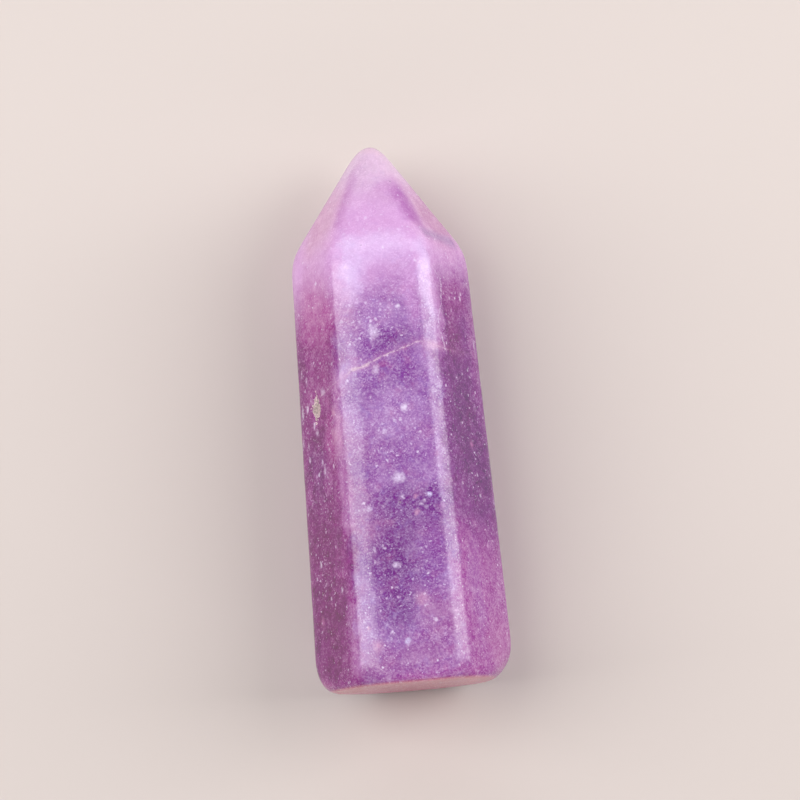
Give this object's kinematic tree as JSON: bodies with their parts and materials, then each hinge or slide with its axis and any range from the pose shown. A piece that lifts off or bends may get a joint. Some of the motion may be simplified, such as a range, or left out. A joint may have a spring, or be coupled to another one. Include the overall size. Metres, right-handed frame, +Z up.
{
  "type": "polished crystal point",
  "caption": "Polished six-sided stone point with flat tapering faces, rounded edges, a blunt tip and a flat cut base, lying on one face.",
  "frame": {"origin": "centre of the bounding box's underside, on the plane that the stone lies on", "axes": "+Y from the cut base towards the tip, +Z up from the face that it lies on"},
  "size_m": [0.0168, 0.0468, 0.0152],
  "materials": {
    "stone": "polished lilac and purple stone with pale flecks and a thin healed vein"
  },
  "bodies": {
    "root": {"crystal_point": "stone"}
  },
  "joints": []
}
